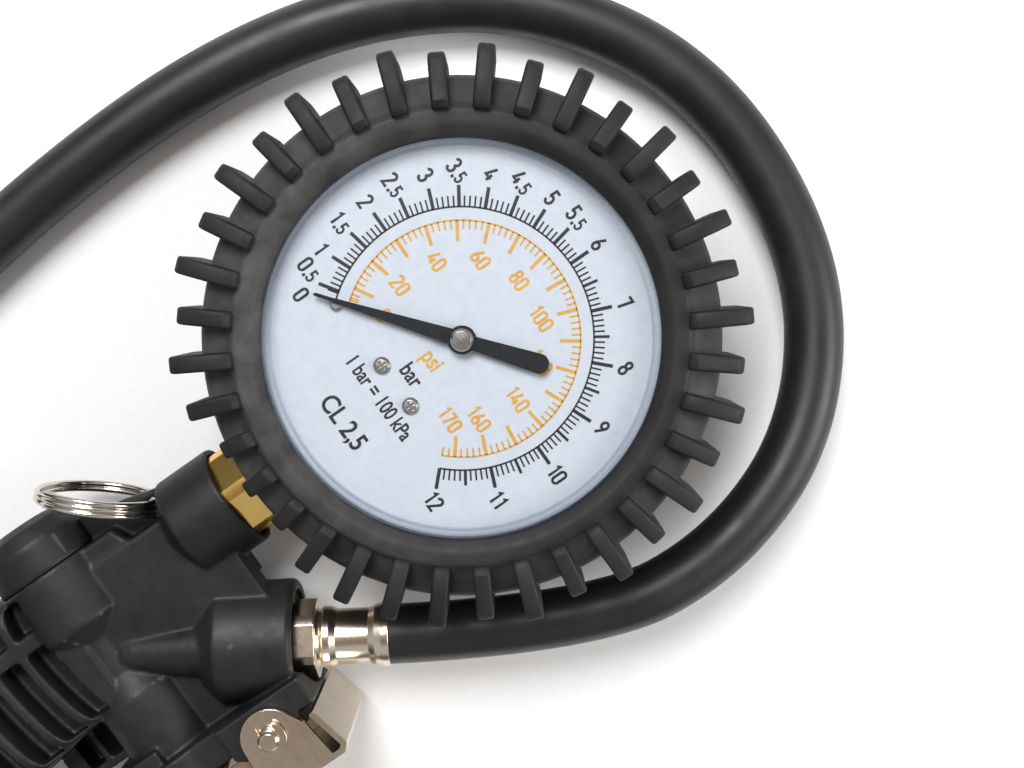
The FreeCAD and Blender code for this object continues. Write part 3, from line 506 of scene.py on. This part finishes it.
def add_moulding(node, name, material, voxel, rounds, keep):
    """The CAD moulding with every edge and corner rounded as a moulded part's are."""
    source = nodes[node]
    bm = bmesh.new()
    bm.from_mesh(source.data)
    bmesh.ops.remove_doubles(bm, verts=bm.verts, dist=1e-6)
    mesh = bpy.data.meshes.new(name)
    bm.to_mesh(mesh)
    bm.free()
    piece = mesh_object(name, mesh)
    remesh = piece.modifiers.new("voxels", "REMESH")
    remesh.mode = "VOXEL"
    remesh.voxel_size = voxel
    smooth = piece.modifiers.new("round", "SMOOTH")
    smooth.factor = 0.6
    smooth.iterations = rounds
    thin = piece.modifiers.new("thin", "DECIMATE")
    thin.ratio = keep
    baked(piece)
    piece.data.shade_smooth()
    piece.data.materials.clear()
    piece.data.materials.append(material)
    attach(piece, source["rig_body"])
    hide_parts(node)
    return piece


# ------------------------------------------------------------------ dial printing

DIAL_TOP = 38.3
INK = 0.05                       # how far the ink stands off the dial
BAR_ARC, PSI_ARC = 22.9, 20.6
BAR_LABEL_R, PSI_LABEL_R = 28.9, 14.2
PSI_IN_BAR = 0.06895
CROWDED_LABELS = {0: -129.6, 5: -120.6}    # tenths of a bar: label angle, moved off its neighbour


def bar_angle(bar):
    """Clockwise from 12 o'clock; the first half bar is squeezed against the stop."""
    if bar < 0.5:
        return -128.0 + (bar / 0.5) * (-123.75 + 128.0)
    return -135.0 + 22.5 * bar


def dial_point(r, degrees):
    angle = math.radians(90 - degrees)
    return (r * math.cos(angle), r * math.sin(angle))


def ink_block(bm, corners):
    """A thin raised patch of ink over the given outline, in millimetres."""
    low = [bm.verts.new((x * MM, y * MM, (DIAL_TOP - 0.01) * MM)) for x, y in corners]
    high = [bm.verts.new((x * MM, y * MM, (DIAL_TOP + INK) * MM)) for x, y in corners]
    bm.faces.new(low[::-1])
    bm.faces.new(high)
    for i in range(len(corners)):
        j = (i + 1) % len(corners)
        bm.faces.new((low[i], low[j], high[j], high[i]))


def ink_strip(bm, left, right, closed=False, lift=0.0):
    """Raised ribbon of ink between two rows of points; lift keeps crossing strokes apart."""
    levels = []
    for z in (DIAL_TOP - 0.01, DIAL_TOP + INK + lift):
        levels.append([[bm.verts.new((x * MM, y * MM, z * MM)) for x, y in side] for side in (left, right)])
    (low_l, low_r), (high_l, high_r) = levels
    count = len(left)
    for i in range(count if closed else count - 1):
        j = (i + 1) % count
        bm.faces.new((high_l[i], high_l[j], high_r[j], high_r[i]))
        bm.faces.new((low_l[i], low_r[i], low_r[j], low_l[j]))
        bm.faces.new((low_l[i], low_l[j], high_l[j], high_l[i]))
        bm.faces.new((low_r[i], high_r[i], high_r[j], low_r[j]))
    if not closed:
        for k in (0, -1):
            bm.faces.new((low_l[k], high_l[k], high_r[k], low_r[k]))


def tick(bm, degrees, start_r, end_r, width):
    x0, y0 = dial_point(start_r, degrees)
    x1, y1 = dial_point(end_r, degrees)
    ux, uy = dial_point(width / 2, degrees + 90)
    ink_block(bm, [(x0 - ux, y0 - uy), (x0 + ux, y0 + uy), (x1 + ux, y1 + uy), (x1 - ux, y1 - uy)])


def arc_line(bm, r, width, start, end):
    steps = 160
    angles = [start + (end - start) * i / steps for i in range(steps + 1)]
    outer = [dial_point(r + width / 2, a) for a in angles]
    inner = [dial_point(r - width / 2, a) for a in angles]
    ink_strip(bm, outer, inner)


def loop(x, y, rx, ry, start, end):
    """Points along an ellipse, counterclockwise from start to end degrees, or back."""
    steps = 16
    angles = [math.radians(start + (end - start) * i / steps) for i in range(steps + 1)]
    return [(x + rx * math.cos(a), y + ry * math.sin(a)) for a in angles]


# Narrow technical figures: the pen's path in a box one unit high
FIGURES = {
    "0": [loop(0.18, 0.74, 0.18, 0.19, 0, 180) + loop(0.18, 0.26, 0.18, 0.19, 180, 360) + [(0.36, 0.74)]],
    "1": [[(0.04, 0.76), (0.20, 0.93), (0.20, 0.07)]],
    "2": [loop(0.18, 0.74, 0.18, 0.19, 170, -25) + [(0.0, 0.07), (0.37, 0.07)]],
    "3": [loop(0.17, 0.73, 0.17, 0.20, 165, -90), loop(0.17, 0.30, 0.19, 0.23, 90, -165)],
    "4": [[(0.22, 0.93), (0.0, 0.28), (0.40, 0.28)], [(0.28, 0.50), (0.28, 0.07)]],
    "5": [[(0.34, 0.93), (0.05, 0.93), (0.03, 0.56)] + loop(0.17, 0.32, 0.19, 0.25, 125, -160)],
    "6": [[(0.27, 0.93), (0.04, 0.45)] + loop(0.18, 0.28, 0.18, 0.21, 165, 340),
          loop(0.18, 0.28, 0.18, 0.21, 340, 500)],
    "7": [[(0.0, 0.93), (0.36, 0.93), (0.12, 0.07)]],
    "8": [loop(0.18, 0.73, 0.155, 0.20, -90, 270), loop(0.18, 0.30, 0.18, 0.23, 90, 450)],
    "9": [[(0.09, 0.07), (0.32, 0.55)] + loop(0.18, 0.72, 0.18, 0.21, -15, 160),
          loop(0.18, 0.72, 0.18, 0.21, 160, 320)],
    ",": [[(0.05, 0.16), (0.01, -0.02)]],
}
ADVANCE = {"1": 0.46, ",": 0.22}
FIGURE_STEP, FIGURE_GAP = 0.565, 0.17     # pen advance for a usual figure, and its blank part
PEN = 0.078
DECIMAL_SIZE = 0.8               # figure after the decimal mark, as a share of the one before it
FONT_WEIGHT, CAP_HEIGHT = 0.018, 0.72     # offset of the letter outline; capitals in a font one unit high


def pen_stroke(bm, points, half, to_dial, lift):
    closed = (Vector(points[0]) - Vector(points[-1])).length < 1e-4
    if closed:
        points = points[:-1]
    left, right = [], []
    for i, point in enumerate(points):
        here = Vector(point)
        normals = []
        if closed or i > 0:
            step = (here - Vector(points[i - 1])).normalized()
            normals.append(Vector((-step.y, step.x)))
        if closed or i < len(points) - 1:
            step = (Vector(points[(i + 1) % len(points)]) - here).normalized()
            normals.append(Vector((-step.y, step.x)))
        normal = sum(normals, Vector((0, 0))).normalized()
        reach = normal * (half / max(normal.dot(normals[0]), 0.55))
        left.append(to_dial(here + reach))
        right.append(to_dial(here - reach))
    ink_strip(bm, left, right, closed, lift)


def figures_into(bm, words, x, y, height):
    """Number centred on (x, y), in millimetres."""
    width = sum(ADVANCE.get(c, FIGURE_STEP) for c in words) - FIGURE_GAP
    pen, size = -width / 2, 1.0
    for char in words:
        start, scale = pen, size

        def to_dial(spot):
            return (x + (start + spot.x * scale) * height, y + (spot.y * scale - 0.5) * height)

        for k, line in enumerate(FIGURES[char]):
            pen_stroke(bm, line, PEN, to_dial, 0.015 * k)
        pen += ADVANCE.get(char, FIGURE_STEP) * size
        if char == ",":
            size = DECIMAL_SIZE


def text_into(bm, words, x, y, height, squeeze):
    """Text centred on (x, y) with the given cap height, in millimetres, pressed into bm."""
    font = bpy.data.curves.new("words", "FONT")
    font.body = words
    font.align_x = "CENTER"
    font.align_y = "CENTER"
    font.size = 1.0
    font.offset = FONT_WEIGHT
    font.resolution_u = 4
    font.extrude = 0.02
    holder = bpy.data.objects.new("words", font)
    bpy.context.scene.collection.objects.link(holder)
    graph = bpy.context.evaluated_depsgraph_get()
    mesh = bpy.data.meshes.new_from_object(holder.evaluated_get(graph))
    bpy.data.objects.remove(holder)
    scale = height / CAP_HEIGHT * MM
    for v in mesh.vertices:
        level = DIAL_TOP + (INK if v.co.z > 0 else -0.01)
        v.co = (v.co.x * scale * squeeze + x * MM, v.co.y * scale + y * MM, level * MM)
    bm.from_mesh(mesh)
    bpy.data.meshes.remove(mesh)


def bar_label(bar):
    whole = int(bar)
    return str(whole) if bar == whole else "%d,5" % whole


def bar_print():
    bm = bmesh.new()
    arc_line(bm, BAR_ARC, 0.30, bar_angle(0), bar_angle(12))
    for tenth in [0] + list(range(4, 121)):
        bar = tenth / 10
        labelled = tenth % 5 == 0 and (tenth <= 60 or tenth % 10 == 0)
        if tenth % 10 == 0 or labelled:
            end, width = BAR_ARC + 3.7, 0.62
        elif tenth % 5 == 0:
            end, width = BAR_ARC + 2.7, 0.50
        else:
            end, width = BAR_ARC + 1.9, 0.30
        tick(bm, bar_angle(bar), BAR_ARC, end, width)
        if labelled:
            x, y = dial_point(BAR_LABEL_R, CROWDED_LABELS.get(tenth, bar_angle(bar)))
            figures_into(bm, bar_label(bar), x, y, 3.1)
    text_into(bm, "bar", 0, -10.9, 2.9, 0.78)
    text_into(bm, "1 bar = 100 kPa", 0, -17.8, 2.7, 0.72)
    text_into(bm, "CL 2,5", 0, -25.4, 3.4, 0.85)
    return from_bmesh("dial_print_bar", bm)


def psi_print():
    bm = bmesh.new()
    arc_line(bm, PSI_ARC, 0.30, bar_angle(0) + 1.5, bar_angle(12))
    for psi in range(4, 176, 2):
        major = psi % 10 == 0
        end, width = (PSI_ARC - 3.6, 0.58) if major else (PSI_ARC - 1.5, 0.31)
        tick(bm, bar_angle(psi * PSI_IN_BAR), PSI_ARC, end, width)
    for psi in [0, 20, 40, 60, 80, 100, 120, 140, 160, 170]:
        x, y = dial_point(PSI_LABEL_R, bar_angle(psi * PSI_IN_BAR) + (5.0 if psi == 170 else 0.0))
        figures_into(bm, str(psi), x, y, 2.9)
    text_into(bm, "psi", 0, -6.4, 3.1, 0.75)
    return from_bmesh("dial_print_psi", bm)


def add_dial_print():
    inks = [(bar_print(), "print_black", (0.010, 0.010, 0.011), (0.02, 0.02, 0.02)),
            (psi_print(), "print_orange", (0.62, 0.31, 0.03), (0.72, 0.38, 0.05))]
    for piece, name, dark, light in inks:
        piece.data.materials.append(printed(name, dark, light))
        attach(piece, "body")


# ------------------------------------------------------------------ valve spring


def add_valve_spring(material):
    """A rigid copy of the CAD valve spring attached to the body; the real spring shortens as the poppet
    comes back, its fixed end staying in the cap.
    """
    source = nodes["valve_spring"]
    spring = mesh_object("spring_coil", source.data.copy())
    spring.data.materials.clear()
    spring.data.materials.append(material)
    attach(spring, "body")
    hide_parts("valve_spring")
    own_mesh(spring)


# ------------------------------------------------------------------ key ring

def add_key_ring(material):
    """Split ring: two close turns of wire with their ends lying against the coil."""
    hole, degrees, coil_r, wire = Vector((-7.0, -67.6, 17.0)), 227.0, 11.25, 0.62
    along = Vector((math.cos(math.radians(degrees)), math.sin(math.radians(degrees)), 0))
    across = Vector((-along.y, along.x, 0))
    centre = hole + along * 11.2
    turns, steps, first_angle, pitch = 2.35, 48, 0.9, 1.05
    curve = bpy.data.curves.new("split_ring", "CURVE")
    curve.dimensions = "3D"
    count = int(turns * steps) + 1
    spline = curve.splines.new("POLY")
    spline.points.add(count - 1)
    for i, point in enumerate(spline.points):
        share = i / (count - 1)
        angle = 2 * math.pi * turns * share + first_angle
        shift = (share - 0.5) * turns * pitch
        radial = math.cos(angle) * along + math.sin(angle) * Vector((0, 0, 1))
        spot = centre + coil_r * radial + across * shift
        point.co = (*(spot * MM), 1)
    curve.bevel_depth = wire * MM
    curve.bevel_resolution = 4
    curve.use_fill_caps = True
    curve.materials.append(material)
    ring = bpy.data.objects.new("split_ring", curve)
    bpy.context.scene.collection.objects.link(ring)
    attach(ring, "key_ring")
    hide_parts("key_ring")


# ------------------------------------------------------------------ light and floor

def area_light(name, place, target, size, watts, colour=(1, 1, 1)):
    data = bpy.data.lights.new(name, "AREA")
    data.shape = "DISK"
    data.size = size
    data.energy = watts
    data.color = colour
    lamp = bpy.data.objects.new(name, data)
    bpy.context.scene.collection.objects.link(lamp)
    lamp.location = place
    lamp.rotation_euler = (Vector(target) - Vector(place)).to_track_quat("-Z", "Y").to_euler()


def add_sky(tree):
    """White tent with a warm dim patch straight overhead and a dim band near the table."""
    place = tree.nodes.new("ShaderNodeTexCoord")
    split = tree.nodes.new("ShaderNodeSeparateXYZ")
    ramp = tree.nodes.new("ShaderNodeValToRGB")
    stops = [(0.0, (0.10, 0.09, 0.08)), (0.30, (0.22, 0.20, 0.18)), (0.52, (0.95, 0.95, 0.97)),
             (0.86, (1.0, 1.0, 1.0)), (0.93, (0.50, 0.38, 0.30)), (1.0, (0.46, 0.34, 0.26))]
    elements = ramp.color_ramp.elements
    while len(elements) < len(stops):
        elements.new(0.5)
    for element, (position, colour) in zip(elements, stops):
        element.position = position
        element.color = (*colour, 1)
    tree.links.new(place.outputs["Generated"], split.inputs["Vector"])
    tree.links.new(split.outputs["Z"], ramp.inputs["Fac"])
    background = tree.nodes["Background"]
    tree.links.new(ramp.outputs["Color"], background.inputs["Color"])
    background.inputs["Strength"].default_value = 0.50


def add_studio():
    world = bpy.data.worlds.new("studio")
    world.use_nodes = True
    add_sky(world.node_tree)
    bpy.context.scene.world = world
    bpy.context.scene.view_settings.view_transform = "Standard"
    area_light("key", (-0.45, 0.12, 0.75), (0, -0.02, 0), size=0.45, watts=7.5)
    area_light("side", (0.52, 0.60, 0.45), (0.03, 0.02, 0.01), size=0.5, watts=5.5,
               colour=(1.0, 0.99, 0.97))
    bpy.ops.mesh.primitive_plane_add(size=6, location=(0, 0, -0.0002))
    floor = bpy.context.object
    floor.name = "floor"
    paper = printed("floor_paper", (0.90, 0.90, 0.90), (0.93, 0.93, 0.93), 0.9)
    floor.data.materials.append(paper)


def main():
    add_camera()
    materials = make_materials()
    add_hose(materials["hose_rubber"])
    dress_nodes(materials)
    add_boot(materials["rubber_boot"])
    add_moulding("valve_body", "body_moulding", materials["nylon_body"], 0.36 * MM, 4, 0.4)
    add_moulding("barrel_cap", "cap_moulding", materials["nylon_body"], 0.35 * MM, 4, 0.5)
    add_dial_print()
    add_valve_spring(materials["steel_spring"])
    add_key_ring(materials["nickel_bright"])
    add_studio()


main()
